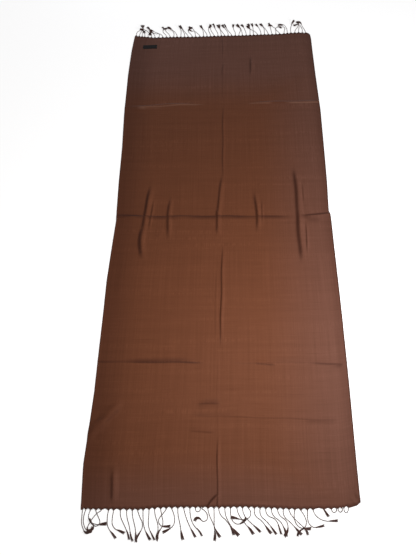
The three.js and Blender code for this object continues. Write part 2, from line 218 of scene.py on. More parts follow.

# %% [markdown]
# ## The folds
# The shawl was pressed flat in a packet, so it has creases across it at the quarters and half of
# its length, and one along its middle. Round the middle crease the cloth also stands up in soft
# ridges, steep on the left and gentle on the right.
# A cloth simulation would make its own folds and not these, so each is given as a ridge from
# one point to another with its bow, height and two flanks. A painted shade also darkens one
# flank of each, by an amount of its own.

# %% Folds and creases
# from x, from y, to x, to y, bow to the side, height, steep flank, soft flank, all in mm,
# and how strong a painted shade lies on one flank: the steep one, or the soft one if it is negative
MAIN_FOLDS = [
    (249, 195, 252, -30, 1, 3.6, 13, 18, 0.8),
    (251, 62, 253, -163, -2, 3.9, 13, 18, 0.85),
    (-229, 128, -245, -68, -5, 3.8, 11, 15, 0.85),
    (-243, -20, -236, -150, -10, 4.2, 14, 15, 0.9),
    (-161, 80, -161, -82, -7, 3.6, 9, 13, 0.65),
    (111, 100, 119, -56, 3, 3.8, 9, 13, 0.65),
    (9, 168, -10, -12, -3, 3.0, 8, 14, 0.6),
    (-8, 45, -9, -64, -1, 3.6, 8, 14, 0.6),
    (7, 470, 7, 140, 0, 1.3, 5, 8, 0.5),
    (7, -95, 2, -430, 0, 2.4, 5, 9, 0.65),
    (-4, -652, -3, -860, 0, 1.8, 4, 8, 0.6),
    (112, 706, 110, 606, 0, 2.6, 7, 15, 0.5),
    (-400, 3, 266, -1, 2, 2.4, 5, 5, -0.85),
    (240, -2, 390, 17, 1, 1.6, 7, 8, -0.85),
    (-400, -462, -36, -461, 0, 2.4, 6, 8, 0.85),
    (20, -464, 305, -456, 0, 0.8, 5, 8, 0.2),
    (90, -462, 160, -466, 0, 2.0, 6, 6, 0.5),
    (235, -458, 440, -468, 0, 1.6, 6, 8, 0.65),
    (-390, 459, -70, 475, 2, 3.0, 4, 8, 0.35),
    (85, 474, 390, 475, 0, 3.0, 4, 8, 0.35),
    (-362, -672, -262, -572, 0, 7, 14, 20, 0.5),
    (-276, -735, -268, -824, 2, 4.2, 8, 16, 0.5),
]
SMALL_CREASES = [
    (258, -12, 350, 2, 0, 1.0, 6, 6, 0.4),
    (-220, 70, -230, -48, 0, 2.0, 5, 7, 0.35),
    (-212, -72, -184, -52, 3, 2.0, 6, 7, 0.25),
    (133, 62, 133, -20, 0, 1.8, 4, 7, 0.35),
    (269, 130, 268, 50, 0, 2.0, 4, 8, 0.35),
    (270, -15, 268, -128, 0, 2.4, 4, 8, 0.4),
    (-13, -175, -12, -405, 0, 0.6, 4, 7, 0.15),
    (-66, -574, 6, -571, 3, 2.4, 8, 7, 0.55),
    (-86, -643, -8, -645, 0, 1.2, 5, 6, 0.3),
    (-92, -604, 352, -611, 0, 0.9, 3.5, 4, 0.3),
    (4, -792, -33, -836, -5, 3.0, 6, 8, 0.95),
    (338, -776, 349, -806, 0, 1.8, 6, 9, 0.2),
    (322, -792, 346, -822, 2, 1.6, 6, 9, 0.2),
    (-385, 8, -235, 2, 0, 1.6, 6, 9, -1.0),
    (4, 840, 5, 690, 0, 0.9, 5, 7, 0.35),
    (4, 700, 5, 480, 0, 0.5, 4, 6, 0.15),
    (9, 672, 2, 612, 0, 1.2, 6, 10, 0.35),
    (-6, -440, -5, -665, 0, 0.4, 4, 6, 0.12),
]
# The far crease has a painted highlight in three places: rows as above, with no height
PAINTED_HIGHLIGHTS = [
    (-425, 458, -55, 475, 2, 0, 5, 5, 0.5),
    (88, 474, 190, 475, 0, 0, 5, 5, 0.4),
    (222, 474, 385, 475, 0, 0, 5, 5, 0.55),
]
print("folds:", len(MAIN_FOLDS), "small creases:", len(SMALL_CREASES), "rubbed places:", len(PAINTED_HIGHLIGHTS))

# %% How high a fold lifts the cloth
def smooth(t):
    """An even ease from 0 to 1, level at both ends."""
    t = np.clip(t, 0.0, 1.0)
    return t * t * (3 - 2 * t)


def fold_frame(fold, x, y):
    """How far along a fold the points are, 0 to 1, and how far across it in mm."""
    x1, y1, x2, y2, bow = fold[:5]
    length = math.hypot(x2 - x1, y2 - y1)
    ux, uy = (x2 - x1) / length, (y2 - y1) / length
    along = ((x - x1) * ux + (y - y1) * uy) / length
    side = -np.sign(uy) if abs(uy) > abs(ux) else np.sign(ux)
    across = side * ((y - y1) * ux - (x - x1) * uy) - bow * 4 * along * (1 - along)
    sway = 0.9 * np.sin(along * length / 23 + x1) * min(1, length / 150)
    return along, across - sway


def fold_height(fold, x, y):
    """How far one fold lifts the cloth at the points x and y."""
    rise, steep, soft = fold[5:8]
    along, across = fold_frame(fold, x, y)
    flank = np.where(across < 0, 1 + across / steep, 1 - across / soft)
    taper = smooth(along / 0.3) * smooth((1 - along) / 0.3)
    uneven = 0.88 + 0.12 * np.sin(along * 9 + fold[0] / 7)
    return rise * smooth(flank) * taper * uneven


# Long low waves that keep a cloth on a floor from lying like a board:
# height, waves along x, waves along y (per metre), where they start
WAVES = [(0.35, 2.1, 0.7, 0.4), (0.3, -1.3, 2.6, 1.9), (0.22, 4.3, 1.4, 3.1), (0.16, 3.1, -5.2, 0.9)]


def cloth_height(x, y):
    """The height of the cloth above the floor that its folds give it, in mm."""
    main = np.max([fold_height(f, x, y) for f in MAIN_FOLDS], axis=0)
    small = np.sum([fold_height(f, x, y) for f in SMALL_CREASES], axis=0)
    low = sum(h * (1 + np.sin(2 * math.pi * (x * a + y * b) / 1000 + c)) for h, a, b, c in WAVES)
    inside = smooth((HALF_WIDTH - np.abs(x)) / 60) * smooth((HALF_LENGTH - np.abs(y)) / 60)
    return main + small + low * inside


RIDGE_SPOT = (251.0, -50.0)
print("on the long ridge at the right:", round(float(cloth_height(*RIDGE_SPOT)), 1), "mm")

# %% How strongly a fold's painted shading marks the cloth
def one_fold_shading(fold, x, y):
    """How much painted shading one fold lays along one of its flanks, 0 to 1."""
    steep, soft, shading_amount = fold[6:9]
    along, across = fold_frame(fold, x, y)
    width = steep if shading_amount > 0 else soft
    middle = -0.55 * width if shading_amount > 0 else 0.55 * width
    fade = min(0.25, 45 / math.hypot(fold[2] - fold[0], fold[3] - fold[1]))
    taper = smooth(along / fade) * smooth((1 - along) / fade)
    return abs(shading_amount) * smooth(1 - np.abs(across - middle) / (0.8 * width)) * taper


def painted_fold_shading(folds, x, y):
    """How much painted shading the strongest of the given folds lays on the points x and y, 0 to 1."""
    return np.max([one_fold_shading(f, x, y) for f in folds], axis=0)


print("left of that ridge:", round(float(painted_fold_shading(MAIN_FOLDS, RIDGE_SPOT[0] - 8, RIDGE_SPOT[1])), 2))

# %% [markdown]
# ## Where the tassels stand
# The warp yarns are gathered into groups along both ends, and each group becomes a tassel.
# The tassels lie as they fell, so each has its own row: where its root is, and the way it heads at
# its root, a third of the way along, at its knot and at its tip, in degrees to the right.

# %% Roots and headings of the tassels
NEAR_TASSELS = [
    (-343, 0, 3, 45, 160), (-335, -20, 5, 60, 190), (-323, -30, 45, 95, 100),
    (-309, 30, 32, -125, -155), (-296, -65, -35, -25, 140), (-277, -10, 5, 48, 40),
    (-264, -10, 2, 74, 66), (-247, 0, 34, 30, 12), (-231, 2, 24, 12, 30),
    (-217, 5, 22, 12, 2), (-203, 22, 34, -36, -25), (-190, 3, 8, 32, 38),
    (-175, 2, -2, 34, 42), (-161, 5, 26, 0, -8), (-146, 14, 18, -45, 10),
    (-132, -36, -44, 82, 98), (-118, 32, 10, -62, -66), (-103, 0, 18, 10, 22),
    (-88, 15, 24, 33, 34), (-73, 2, 18, 55, 22), (-43, 75, 10, -145, -5),
    (-28, 10, 30, 26, 42), (-13, 3, 0, 8, -10), (-1, 5, 56, 34, 12),
    (14, 0, 28, 42, 46), (28, -5, 20, 110, 150), (44, 10, 40, 46, 32),
    (58, 0, 46, 52, 46), (73, 55, -60, -105, -92), (87, -15, 60, 35, 45),
    (101, -15, 55, 38, 38), (115, -5, 78, 15, 20), (129, 0, 62, 24, 8),
    (144, 8, 64, -10, -50), (158, -12, 55, 42, 48), (172, 20, 50, 50, 10),
    (186, -20, 15, 85, 92), (201, 45, 15, -70, -10), (217, -10, 10, 100, 105),
    (231, 15, 62, 95, 92),
]
FAR_TASSELS = [
    (-341, -15, 30, 125, 165), (-330, 12, 20, 10, 5), (-318, 0, 45, 150, 165),
    (-307, -5, -10, -25, -35), (-294, 50, -50, -60, -90), (-280, -5, -15, -25, -50),
    (-266, -10, -35, -40, -30), (-251, 40, -50, -80, -85), (-235, -15, -75, -90, -92),
    (-220, -15, -45, 15, 145), (-206, -15, -40, -35, -40), (-192, 15, -15, -60, -55),
    (-178, -5, -35, -60, -62), (-163, 0, 0, -12, -25), (-148, 0, -20, -30, -25),
    (-134, -20, -40, -38, -28), (-118, -20, -45, 20, 110), (-104, -15, -5, -58, -48),
    (-88, -20, -48, -74, -70), (-73, -2, -5, -24, -20), (-59, -5, -30, -38, -15),
    (-45, -12, -22, 12, 60), (-31, -25, -26, -10, 15), (-16, 0, -24, -20, -40),
    (-3, -8, -4, -16, -4), (10, -25, -35, -30, -15), (24, 5, -25, -30, -60),
    (38, -25, -32, -30, -45), (52, 10, -22, -8, 18), (66, 12, 22, -36, -38),
    (80, -2, -12, -34, -40), (95, 0, -16, -20, -45), (110, 2, 2, -12, -25),
    (124, -8, 2, -8, -18), (139, -20, -60, -45, -20), (153, 0, -15, -28, -35),
    (167, -4, 2, -28, -38), (181, -10, -28, -42, -30), (196, -10, -8, -8, -20),
    (211, 5, -5, -62, -88), (226, -30, -40, 70, 170), (243, 8, 15, -70, -95),
    (256, 0, -5, -80, -95), (270, -3, 5, 20, 60), (285, 10, 36, 10, -60),
    (300, 5, 10, -10, -40), (314, 15, -15, -80, -92), (327, -10, -20, -30, -75),
]
# Tassels turned back under the cloth show only a loop: from x, to x, and how far it hangs out
NEAR_LOOPS = [(-59, -47, 6), (276, 288, 5), (292, 302, 5), (306, 317, 9)]
# One comes out again, so that only its brush shows: its x, heading and length
NEAR_BRUSH = (258, 35, 17)

NEAR_ROOTS = sorted(
    [t[0] for t in NEAR_TASSELS] + [x for loop in NEAR_LOOPS for x in loop[:2]] + [NEAR_BRUSH[0]]
)
FAR_ROOTS = [t[0] for t in FAR_TASSELS]
print("near roots", len(NEAR_ROOTS), "far roots", len(FAR_ROOTS))

# %% [markdown]
# ## The cloth
# The cloth is a woven sheet about 0.4 mm thick. It starts as a flat grid, whose lines are moved to
# stand close together at the creases and ends. Each point is then moved to its place between the
# edges and lifted by the folds. Along both ends the edge is scalloped, because each tassel pulls
# the cloth out at its root and puckers it there. The painted shade along the folds, and a painted
# highlight along the far crease, are kept on the points as attributes. A Solidify modifier gives
# the sheet its thickness.

# %% Lay out the lines of the grid
def grid_lines(low, high, coarse, fine, places, reach):
    """Lines that stand close together near the given places and further apart elsewhere."""
    lines = [low]
    while lines[-1] < high:
        near = any(abs(lines[-1] - place) < reach for place in places)
        lines.append(lines[-1] + (fine if near else coarse))
    lines = np.array(lines)
    return low + (lines - low) * (high - low) / (lines[-1] - low)


crease_places = [-465, 0, 10, 20, 461, 474, -576, -610, -647, -795, -806, -HALF_LENGTH, HALF_LENGTH]
ridge_places = [-249, -232, -166, -10, 5, 114, 131, 246, 266]
columns = grid_lines(-HALF_WIDTH, HALF_WIDTH, coarse=3.0, fine=1.7, places=ridge_places, reach=8)
rows = grid_lines(-HALF_LENGTH, HALF_LENGTH, coarse=14, fine=2.1, places=crease_places, reach=8)
print("grid:", len(columns), "by", len(rows), "lines")

# %% Where each point of the cut lies
CLOTH_WALL = 0.45
# the top of the cloth where no fold lifts it, just clear of the floor
FLAT_TOP = CLOTH_WALL + 0.05
SCALLOP_DEPTH = 5.0


def scallop(end, x):
    """0 at each root and 1 half way between two, along one end of the cloth."""
    roots = NEAR_ROOTS if end < 0 else FAR_ROOTS
    phase = np.interp(x, roots, np.arange(len(roots)))
    return np.sin(math.pi * (phase % 1.0)) ** 0.8


def cloth_point(u, v):
    """Where the point of the cut at u, v (mm from its middle) lies, in mm."""
    left, right = side_x(-1, v), side_x(1, v)
    x = left + (right - left) * (u + HALF_WIDTH) / CLOTH_WIDTH
    end = np.where(v < 0, -1, 1)
    reach = np.where(v < 0, end_reach(-1, x), end_reach(1, x))
    # scallops start 11 mm in from an end and puckers 16 mm, and a selvedge curls over 5 mm
    at_end = smooth((np.abs(v) - HALF_LENGTH + 11) / 11)
    arc = np.where(v < 0, scallop(-1, x), scallop(1, x))
    y = v * reach / HALF_LENGTH - end * SCALLOP_DEPTH * arc * at_end
    pucker = 0.8 * (1 - arc) * smooth((np.abs(v) - HALF_LENGTH + 16) / 10)
    curl = 0.9 * smooth((np.abs(u) - HALF_WIDTH + 5) / 5)
    lift = cloth_height(x, y) + pucker + curl * (0.5 + 0.5 * np.sin(v / 61 + u / 90))
    return x, y, lift + FLAT_TOP


corner = cloth_point(np.array([HALF_WIDTH]), np.array([HALF_LENGTH]))
print("the far right corner lies at", [round(float(c[0]), 1) for c in corner], "mm")

# %% Make the cloth
clear_selection()
bpy.ops.mesh.primitive_grid_add(
    x_subdivisions=len(columns) - 1, y_subdivisions=len(rows) - 1, size=2, location=(0, 0, 0)
)
cloth = bpy.context.object
cloth.name = "cloth"


def read_points(mesh):
    """The places of a mesh's points, in metres, one row each."""
    points = np.empty(len(mesh.vertices) * 3)
    mesh.vertices.foreach_get("co", points)
    return points.reshape(-1, 3)


def write_points(mesh, points):
    """Move a mesh's points to the given rows, in metres."""
    mesh.vertices.foreach_set("co", np.ascontiguousarray(points, dtype=float).ravel())
    mesh.update()


flat = read_points(cloth.data)
u = np.interp(flat[:, 0], np.linspace(-1, 1, len(columns)), columns)
v = np.interp(flat[:, 1], np.linspace(-1, 1, len(rows)), rows)
lying = np.stack(cloth_point(u, v), axis=1)
write_points(cloth.data, lying * MM)
# painted shade along the folds, and a painted highlight along the far crease
for name, folds in (("painted_fold_shading", MAIN_FOLDS + SMALL_CREASES), ("painted_highlight", PAINTED_HIGHLIGHTS)):
    marks = cloth.data.attributes.new(name, "FLOAT", "POINT")
    marks.data.foreach_set("value", painted_fold_shading(folds, lying[:, 0], lying[:, 1]))


def write_uv(mesh, name, across, along):
    """A UV map from one pair of values for each point."""
    while mesh.uv_layers:
        mesh.uv_layers.remove(mesh.uv_layers[0])
    corner = np.empty(len(mesh.loops), dtype=np.int32)
    mesh.loops.foreach_get("vertex_index", corner)
    pairs = np.stack([across[corner], along[corner]], axis=1)
    mesh.uv_layers.new(name=name).data.foreach_set("uv", pairs.ravel())


write_uv(cloth.data, "cut", u / CLOTH_WIDTH + 0.5, v / CLOTH_LENGTH + 0.5)


def thicken(obj, thickness, offset):
    """A wall of even thickness from a sheet, with the modifier applied."""
    wall = obj.modifiers.new("wall", "SOLIDIFY")
    wall.thickness = thickness
    wall.offset = offset
    bpy.context.view_layer.objects.active = obj
    bpy.ops.object.modifier_apply(modifier=wall.name)


thicken(cloth, CLOTH_WALL * MM, -1)
bpy.ops.object.shade_smooth_by_angle(angle=math.radians(50))
print("cloth:", 2 * len(cloth.data.polygons), "triangles")

# %% [markdown]
# ## One tassel
# A tassel is two plies of yarn twisted into a cord, an overhand knot, and a brush of loose ends.
# It is modelled once, straight along X: the plies are two thin bars wound by a Simple Deform
# twist and pressed a little flat, as a soft cord on a floor is lower than it is wide. The knot is
# two small rings that cross, and the brush is a fan of finer bars. Behind the root a few warp
# yarns spread out over the cloth.

# %% Model the yarns of one tassel
TASSEL_LENGTH, CORD_LENGTH = 73, 51
CORD_FLATNESS = 0.6
BRUSH_START = CORD_LENGTH + 1
BRUSH_LENGTH = TASSEL_LENGTH - BRUSH_START


def bar(sides, radius, start, end, cuts, across=0.0):
    """A straight yarn along X, in mm, cut into short lengths so that it can bend."""
    clear_selection()
    bpy.ops.mesh.primitive_cylinder_add(
        vertices=sides, radius=radius * MM, depth=(end - start) * MM, end_fill_type="NGON",
        location=((start + end) / 2 * MM, across * MM, 0), rotation=(0, math.pi / 2, 0),
    )
    yarn = bpy.context.object
    bpy.ops.object.transform_apply(location=True, rotation=True, scale=True)
    bpy.ops.object.mode_set(mode="EDIT")
    bpy.ops.mesh.select_mode(type="EDGE")
    bpy.ops.mesh.select_all(action="DESELECT")
    shape = bmesh.from_edit_mesh(yarn.data)
    for edge in shape.edges:
        edge.select = abs(edge.verts[0].co.x - edge.verts[1].co.x) > 1e-6
    bmesh.update_edit_mesh(yarn.data)
    bpy.ops.mesh.subdivide(number_cuts=cuts)
    bpy.ops.object.mode_set(mode="OBJECT")
    return yarn


def join(pieces, name):
    """Several meshes made into one."""
    clear_selection()
    for piece in pieces:
        piece.select_set(True)
    bpy.context.view_layer.objects.active = pieces[0]
    if len(pieces) > 1:
        bpy.ops.object.join()
    pieces[0].name = name
    return pieces[0]


PLY_RADIUS, PLY_APART = 0.7, 1.24


def two_ply(name, length, turns, cuts):
    """Two plies side by side, twisted round each other into a straight cord."""
    plies = [bar(5, PLY_RADIUS, 0, length, cuts, side * PLY_APART / 2) for side in (-1, 1)]
    wound = join(plies, name)
    twist = wound.modifiers.new("twist", "SIMPLE_DEFORM")
    twist.deform_method = "TWIST"
    twist.deform_axis = "X"
    twist.angle = math.radians(360 * turns)
    bpy.ops.object.modifier_apply(modifier=twist.name)
    return wound


cord = two_ply("cord_pattern", CORD_LENGTH, turns=9, cuts=53)
write_points(cord.data, read_points(cord.data) * (1, 1, CORD_FLATNESS))
print("cord:", len(cord.data.vertices), "points")

# %% The knot, the brush and the gathered warp
rings = []
for place, lean in ((CORD_LENGTH - 0.1, 0.5), (CORD_LENGTH + 0.9, -0.5)):
    clear_selection()
    bpy.ops.mesh.primitive_torus_add(
        major_segments=10, minor_segments=5, major_radius=1.15 * MM, minor_radius=0.72 * MM,
        location=(place * MM, 0, 0), rotation=(0, math.pi / 2 + lean, 0.3),
    )
    bpy.ops.object.transform_apply(location=True, rotation=True, scale=True)
    rings.append(bpy.context.object)
knot = join(rings, "knot_pattern")

YARNS, YARN_RADIUS, WARP_RADIUS = 17, 0.58, 0.3
luck = random.Random(11)
loose = []
for k in range(YARNS):
    length = BRUSH_LENGTH + luck.uniform(-3.2, 1.0)
    yarn = bar(4, YARN_RADIUS, BRUSH_START, BRUSH_START + length, cuts=4)
    points = read_points(yarn.data) / MM
    out = (points[:, 0] - BRUSH_START) / BRUSH_LENGTH
    angle, ring = 2.4 * k, math.sqrt((k + 0.5) / YARNS)
    fan = 0.9 + 2.7 * out + 0.7 * np.sin(math.pi * out)
    points[:, 1] = points[:, 1] * (1 - 0.3 * out) + ring * math.cos(angle) * fan
    points[:, 2] = points[:, 2] * (1 - 0.3 * out) + ring * math.sin(angle) * fan * 0.42
    points[:, 1] += 0.25 * np.sin(7 * out + k)
    write_points(yarn.data, points * MM)
    loose.append(yarn)
brush = join(loose, "brush_pattern")

warp = []
for k in range(-2, 3):
    yarn = bar(4, WARP_RADIUS, -5.5, 1.5, cuts=4)
    points = read_points(yarn.data) / MM
    points[:, 1] += k * 2.3 * smooth((1 - points[:, 0]) / 6.5) + k * 0.12
    points[:, 2] += 0.5 - 0.35 * smooth((-2.5 - points[:, 0]) / 3)
    write_points(yarn.data, points * MM)
    warp.append(yarn)
gather = join(warp, "gather_pattern")
print("brush:", len(brush.data.vertices), "points, gather:", len(gather.data.vertices), "points")

# %% [markdown]
# ## Laying the tassels
# Each copy of the tassel is bent along its own path on the floor. The paths are walked out a
# millimetre at a time, and tassels that run straightest are laid first. One that comes later is
# lifted over those that it crosses, on an even slope, as real yarns lie on each other.
# The far tassels lie a little shorter than the near ones. Their brushes are fuller and closer
# together, so there one is lifted wherever its whole width would meet another.

# %% Walk out the path of each tassel
HEADING_STATIONS = np.array([0, 0.33, 0.7, 1]) * TASSEL_LENGTH
# the tassels lie shorter than the pattern, by this share at the near and at the far end
NEAR_TASSEL_SHARE, FAR_TASSEL_SHARE = 68 / 73, 60 / 73
# a path starts inside the cloth and goes on past the tip, by these, with a point at each mm
INSIDE, PAST_TIP = 6, 3
STATIONS = np.arange(-INSIDE, TASSEL_LENGTH + PAST_TIP + 1)


def tassel_path(end, row):
    """Points on the floor plan of one tassel, from 6 mm inside the cloth to 3 mm past its tip."""
    step = NEAR_TASSEL_SHARE if end < 0 else FAR_TASSEL_SHARE
    x, y = row[0], end * end_reach(end, row[0])
    plan = [(x, y - end * back) for back in range(INSIDE, 0, -1)]
    for at in STATIONS[INSIDE:]:
        plan.append((x, y))
        heading = math.radians(np.interp(at + 0.5, HEADING_STATIONS, row[1:]))
        x, y = x + step * math.sin(heading), y + end * step * math.cos(heading)
    return np.array(plan)


near_plans = [tassel_path(-1, row) for row in NEAR_TASSELS]
far_plans = [tassel_path(1, row) for row in FAR_TASSELS]
print("paths:", len(near_plans), "near,", len(far_plans), "far")

# %% Lay the tassels over each other
# distance from the root, and the half thickness and half width there, in mm
TASSEL_SECTIONS = np.array([
    (0, 0.9, 1.3), (40, 0.9, 1.3), (48, 1, 1.4), (CORD_LENGTH, 1.6, 2.2), (54, 1.2, 2.6),
    (63, 1.7, 4), (TASSEL_LENGTH, 1.9, 5),
])
# a lifted strand stays level for LEVEL_REACH on both sides of what it crosses, then slopes down
FLOOR_CLEARANCE, STRAND_GAP, LEVEL_REACH, STRAND_SLOPE = 0.25, 0.7, 4, 0.45


def lay_tassels(end, plans):
    """The height of each point of each tassel, so that those that cross lie over each other."""
    places, *halves = TASSEL_SECTIONS.T
    radius, half_width = (np.interp(STATIONS, places, half) for half in halves)
    width = radius if end < 0 else half_width
    tip = -PAST_TIP - 1
    order = sorted(range(len(plans)), key=lambda i: abs(plans[i][tip, 0] - plans[i][INSIDE, 0]))
    apart = np.maximum(0, np.abs(STATIONS[:, None] - STATIONS[None, :]) - LEVEL_REACH)
    # what lies already, one row for each point: x, y, height, radius, width
    laid, heights = np.empty((0, 5)), [None] * len(plans)
    for i in order:
        # a soft strand flattens where it rests, so half its radius counts below its middle
        need = FLOOR_CLEARANCE + radius / 2
        if len(laid):
            gap = np.hypot(*(plans[i][:, None, k] - laid[None, :, k] for k in (0, 1)))
            over = laid[:, 2] + laid[:, 3] + radius[:, None] / 2 + STRAND_GAP
            close = gap < width[:, None] + laid[:, 4] + STRAND_GAP
            need = np.maximum(need, np.where(close, over, 0).max(axis=1))
        need[:INSIDE + 1] = FLOOR_CLEARANCE + radius[0] / 2
        z = (need[None, :] - STRAND_SLOPE * apart).max(axis=1)
        z[:INSIDE + 1] = need[0]
        heights[i] = z
        keep = slice(INSIDE + 1, -PAST_TIP)
        laid = np.vstack([laid, np.column_stack([plans[i], z, radius, width])[keep]])
    return heights


near_heights, far_heights = lay_tassels(-1, near_plans), lay_tassels(1, far_plans)
print("highest near", round(max(h.max() for h in near_heights), 1), "mm, far",
      round(max(h.max() for h in far_heights), 1), "mm")

# %% Bend a pattern along a path
def double(pattern):
    """A copy of a piece with a mesh of its own."""
    copy = pattern.copy()
    copy.data = pattern.data.copy()
    bpy.context.collection.objects.link(copy)
    return copy


def run_length(path):
    """How far along a path each of its points is, in mm."""
    return np.concatenate([[0], np.cumsum(np.hypot(*np.diff(path, axis=0).T))])


# how far a yarn lies above its path's height, and the lowest that any point of it may come
YARN_LIFT, LOWEST = 0.3, 0.04


def bend_along(pattern, at, path, heights, spread=1.0):
    """A copy of a straight pattern, bent so that its places at (mm along it) lie on the path."""
    piece = double(pattern)
    along, across, up = (read_points(pattern.data) / MM).T
    ahead = np.gradient(path, axis=0)
    ahead /= np.hypot(*ahead.T)[:, None]
    tx, ty = (np.interp(along, at, ahead[:, k]) for k in (0, 1))
    fuller = 1 + (spread - 1) * smooth((along - CORD_LENGTH) / 6)
    wide, up = across * fuller, up * fuller ** 0.7
    points = np.stack([
        np.interp(along, at, path[:, 0]) - wide * ty,
        np.interp(along, at, path[:, 1]) + wide * tx,
        np.maximum(np.interp(along, at, heights) + YARN_LIFT + up, LOWEST),
    ], axis=1)
    write_points(piece.data, points * MM)
    return piece


print("the first near path is", round(float(run_length(near_plans[0])[-1]), 1), "mm long")

# %% [markdown]
# ## The two fringes
# Each fringe is joined into one piece: its tassels, the last weft yarn that runs in scallops from
# root to root, and at the near end the loops and the brush of the tassels that the cloth hides.
# A UV map runs along each yarn, so that the finish can follow it.

# %% The tassels that the cloth hides
TURN_LENGTH, LOOP_HEIGHT, LONE_HEIGHT = 5.7, 0.7, 1.2
# the loops and the lone brush start this far inside the cloth's edge
TUCK = 4
# a loop has the colour that a free cord has this far along it
LOOP_COLOUR_AT = 20


def write_yarn_uv(piece, along, across):
    """U runs along the yarn from 0 at its root to 1 at its tip."""
    write_uv(piece.data, "yarn", along / TASSEL_LENGTH, across / 8 + 0.5)


def short_cord(points, height):
    """A twisted cord through the given points, as long as they are apart."""
    path = np.array(points, dtype=float)
    at = run_length(path)
    plain = two_ply("short_cord", at[-1], turns=at[-1] / TURN_LENGTH, cuts=20)
    laid = bend_along(plain, at, path, np.full(len(path), height))
    bpy.data.objects.remove(plain)
    zeros = np.zeros(len(laid.data.vertices))
    write_yarn_uv(laid, zeros + LOOP_COLOUR_AT, zeros)
    return laid


hidden = []
for start, stop, drop in NEAR_LOOPS:
    turn = np.linspace(0, math.pi, 15)
    xs = (start + stop) / 2 - (stop - start) / 2 * np.cos(turn)
    ys = -end_reach(-1, xs) - drop * np.sin(turn)
    hidden.append(short_cord([(start, ys[0] + TUCK), *zip(xs, ys), (stop, ys[-1] + TUCK)], LOOP_HEIGHT))

x, heading, length = NEAR_BRUSH
steps = np.arange(-TUCK, length + PAST_TIP + 1)
lean = math.radians(heading)
plan = np.stack([x + steps * math.sin(lean), -end_reach(-1, x) - steps * math.cos(lean)], axis=1)
lone = bend_along(brush, TASSEL_LENGTH - length + steps, plan, np.full(len(plan), LONE_HEIGHT))
ends = read_points(brush.data) / MM
write_yarn_uv(lone, ends[:, 0], ends[:, 1])
hidden.append(lone)
print("hidden tassels:", len(hidden))

# %% Bend the free tassels and join each fringe
whole = join([cord, knot, brush, gather], "tassel_pattern")
ends = read_points(whole.data) / MM
write_yarn_uv(whole, ends[:, 0], ends[:, 1])


EDGE_YARN_RADIUS, EDGE_YARN_HEIGHT = 0.34, 0.45


def edge_yarn(end):
    """The last weft yarn, drawn into scallops between the roots."""
    xs = np.arange(side_x(-1, end * HALF_LENGTH) + 1, side_x(1, end * HALF_LENGTH) - 1, 1.6)
    ys = end * (end_reach(end, xs) - 0.2 - SCALLOP_DEPTH * scallop(end, xs))
    path = np.stack([xs, ys], axis=1)
    at = run_length(path)
    yarn = bar(5, EDGE_YARN_RADIUS, 0, at[-1], cuts=420)
    laid = bend_along(yarn, at, path, np.full(len(path), EDGE_YARN_HEIGHT))
    bpy.data.objects.remove(yarn)
    zeros = np.zeros(len(laid.data.vertices))
    write_yarn_uv(laid, zeros, zeros)
    return laid


def fringe(name, end, plans, heights, extra):
    """All tassels of one end, joined with the yarn that runs along it."""
    chance = random.Random(23 if end < 0 else 29)
    pieces = [edge_yarn(end)]
    for plan, height in zip(plans, heights):
        spread = chance.uniform(0.75, 1.3) if end < 0 else chance.uniform(1.1, 1.8)
        pieces.append(bend_along(whole, STATIONS, plan, height, spread))
    made = join(pieces + extra, name)
    bpy.ops.object.shade_smooth_by_angle(angle=math.radians(75))
    return made


tassels_near = fringe("tassels_near", -1, near_plans, near_heights, hidden)
tassels_far = fringe("tassels_far", 1, far_plans, far_heights, [])
bpy.data.objects.remove(whole)
for piece in (tassels_near, tassels_far):
    piece.data.calc_loop_triangles()
    print(piece.name, len(piece.data.loop_triangles), "triangles")

# %% [markdown]
# ## The label
# A small ribbon label is sewn near the far left corner. Its two short ends are folded under, so
# they stand a little higher, and a running stitch holds it along its edge. It carries nothing.
# It could be one thin box, but a fine grid that follows the cloth also shows the folded ends.

# %% Make the label
LABEL_X, LABEL_Y, LABEL_WIDTH, LABEL_HEIGHT, LABEL_WALL = -282, 767, 55, 20, 0.35
FOLDED_END, SEWN_GAP = 7, 0.05


def ribbon_sway(across):
    """How far the ribbon is pulled out of line, at a place along its width in mm."""
    return 0.3 * np.sin(across / 9)


def ribbon_top(x, y, across, along):
    """The height of the ribbon's top over the cloth's point x, y, at across, along on the ribbon."""
    folded = 0.3 * smooth((np.abs(across) - LABEL_WIDTH / 2 + FOLDED_END) / 1.5)
    bulge = 0.35 * np.cos(math.pi * along / LABEL_HEIGHT) * (0.6 + 0.4 * np.sin(across / 6))
    return cloth_height(x, y) + FLAT_TOP + SEWN_GAP + LABEL_WALL + folded + bulge


clear_selection()
bpy.ops.mesh.primitive_grid_add(x_subdivisions=56, y_subdivisions=20, size=2, location=(0, 0, 0))
label = bpy.context.object
label.name = "ribbon_label"
flat = read_points(label.data)
across, along = flat[:, 0] * LABEL_WIDTH / 2, flat[:, 1] * LABEL_HEIGHT / 2
at_ends = np.sign(across) * smooth((np.abs(across) - 20) / 8)
pinch = 0.25 * np.cos(math.pi * flat[:, 1]) * at_ends
x, y = LABEL_X + across + pinch, LABEL_Y + along + ribbon_sway(across)
z = ribbon_top(x, y, across, along)
write_points(label.data, np.stack([x, y, z], axis=1) * MM)
write_uv(label.data, "ribbon", flat[:, 0] / 2 + 0.5, flat[:, 1] / 2 + 0.5)
thicken(label, LABEL_WALL * MM, -1)
bevel = label.modifiers.new("soft_edge", "BEVEL")
bevel.width = 0.1 * MM
bevel.segments = 2
bevel.limit_method = "ANGLE"
bevel.angle_limit = math.radians(60)
bpy.ops.object.modifier_apply(modifier=bevel.name)
bpy.ops.object.shade_smooth_by_angle(angle=math.radians(50))
print("label:", len(label.data.polygons), "faces")

# %% [markdown]
# ## The stitches round the label
# Each stitch is a short arch of thread that dips into the ribbon at both ends. One is modelled
# from a thin cylinder and copied round the label's edge, and the copies are joined into one piece.

